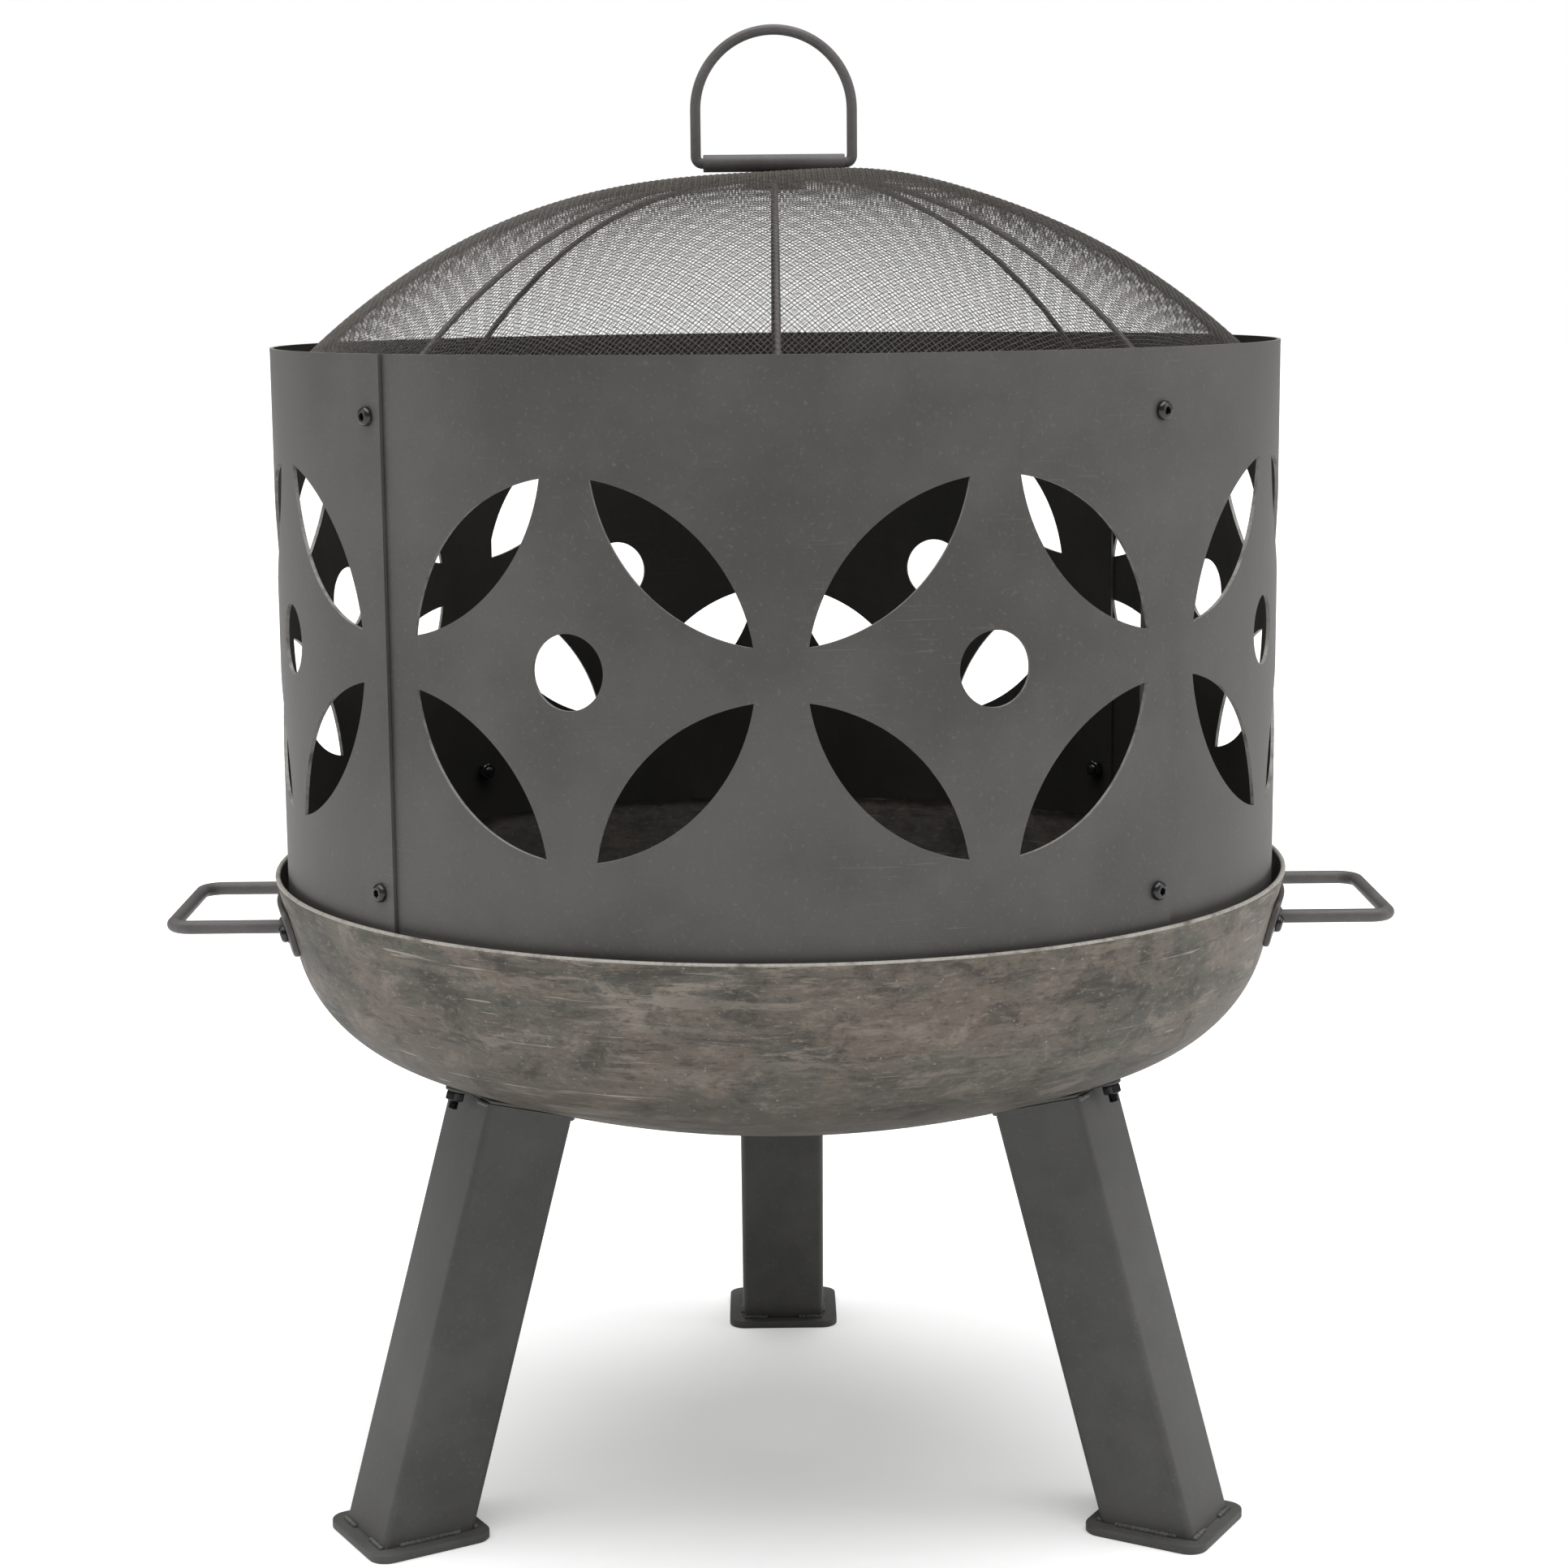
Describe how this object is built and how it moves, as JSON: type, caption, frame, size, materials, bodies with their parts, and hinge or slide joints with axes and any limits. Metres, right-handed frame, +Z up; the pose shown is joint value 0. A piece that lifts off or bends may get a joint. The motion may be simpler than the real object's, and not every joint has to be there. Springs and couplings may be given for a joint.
{
  "type": "fire pit with grate and spark screen",
  "caption": "Round fire pit: dished bowl on splayed square legs, lift-off pierced heat ring, domed wire spark screen with hinged lid handle, and a log grate.",
  "frame": {"origin": "on the ground, under the centre of the bowl", "axes": "+Z up; +X along the line of the side handles; +Y towards the rear leg"},
  "size_m": [0.722, 0.601, 0.8604],
  "materials": {
    "bowl_iron": "mottled brown-grey cast skin",
    "ring_sheet": "satin warm grey coating",
    "leg_paint": "satin grey coating",
    "rod_steel": "dull dark rod steel",
    "screw_black": "glossy black oxide",
    "wire_cloth": "fine woven grey wire",
    "grate_iron": "dark matt iron"
  },
  "bodies": {
    "stand": {"fire_bowl": "bowl_iron", "foot_plate_left": "leg_paint", "foot_plate_rear": "leg_paint", "foot_plate_right": "leg_paint", "handle_nut_left_a": "screw_black", "handle_nut_left_b": "screw_black", "handle_nut_right_a": "screw_black", "handle_nut_right_b": "screw_black", "handle_screw_left_a": "screw_black", "handle_screw_left_b": "screw_black", "handle_screw_right_a": "screw_black", "handle_screw_right_b": "screw_black", "handle_strip_left": "rod_steel", "handle_strip_right": "rod_steel", "leg_bolt_left_inner": "screw_black", "leg_bolt_left_outer": "screw_black", "leg_bolt_rear_inner": "screw_black", "leg_bolt_rear_outer": "screw_black", "leg_bolt_right_inner": "screw_black", "leg_bolt_right_outer": "screw_black", "leg_nut_left_inner": "screw_black", "leg_nut_left_outer": "screw_black", "leg_nut_rear_inner": "screw_black", "leg_nut_rear_outer": "screw_black", "leg_nut_right_inner": "screw_black", "leg_nut_right_outer": "screw_black", "leg_top_plate_left": "leg_paint", "leg_top_plate_rear": "leg_paint", "leg_top_plate_right": "leg_paint", "leg_tube_left": "leg_paint", "leg_tube_rear": "leg_paint", "leg_tube_right": "leg_paint", "side_handle_left": "rod_steel", "side_handle_right": "rod_steel"},
    "heat_ring": {"ring_nut_front_lower": "screw_black", "ring_nut_front_upper": "screw_black", "ring_nut_left_lower": "screw_black", "ring_nut_left_upper": "screw_black", "ring_nut_rear_lower": "screw_black", "ring_nut_rear_upper": "screw_black", "ring_nut_right_lower": "screw_black", "ring_nut_right_upper": "screw_black", "ring_panel_front": "ring_sheet", "ring_panel_left": "ring_sheet", "ring_panel_rear": "ring_sheet", "ring_panel_right": "ring_sheet", "ring_screw_front_lower": "screw_black", "ring_screw_front_upper": "screw_black", "ring_screw_left_lower": "screw_black", "ring_screw_left_upper": "screw_black", "ring_screw_rear_lower": "screw_black", "ring_screw_rear_upper": "screw_black", "ring_screw_right_lower": "screw_black", "ring_screw_right_upper": "screw_black"},
    "spark_screen": {"screen_hoop": "rod_steel", "screen_cloth": "wire_cloth", "screen_ribs": "rod_steel", "handle_sleeve": "rod_steel"},
    "lid_handle": {"lid_handle": "rod_steel"},
    "log_grate": {"log_grate": "grate_iron"}
  },
  "joints": [
    {"name": "ring_lift", "type": "slide", "parent": "stand", "child": "heat_ring", "axis": [0, 0, 1], "range_m": [0, 0.35]},
    {"name": "screen_lift", "type": "slide", "parent": "heat_ring", "child": "spark_screen", "axis": [0, 0, 1], "range_m": [0, 0.25]},
    {"name": "handle_fold", "type": "hinge", "parent": "spark_screen", "child": "lid_handle", "pos_m": [0, 0, 0.7819], "axis": [1, 0, 0], "range_deg": [-90, 90]},
    {"name": "grate_lift", "type": "slide", "parent": "stand", "child": "log_grate", "axis": [0, 0, 1], "range_m": [0, 0.3]}
  ]
}
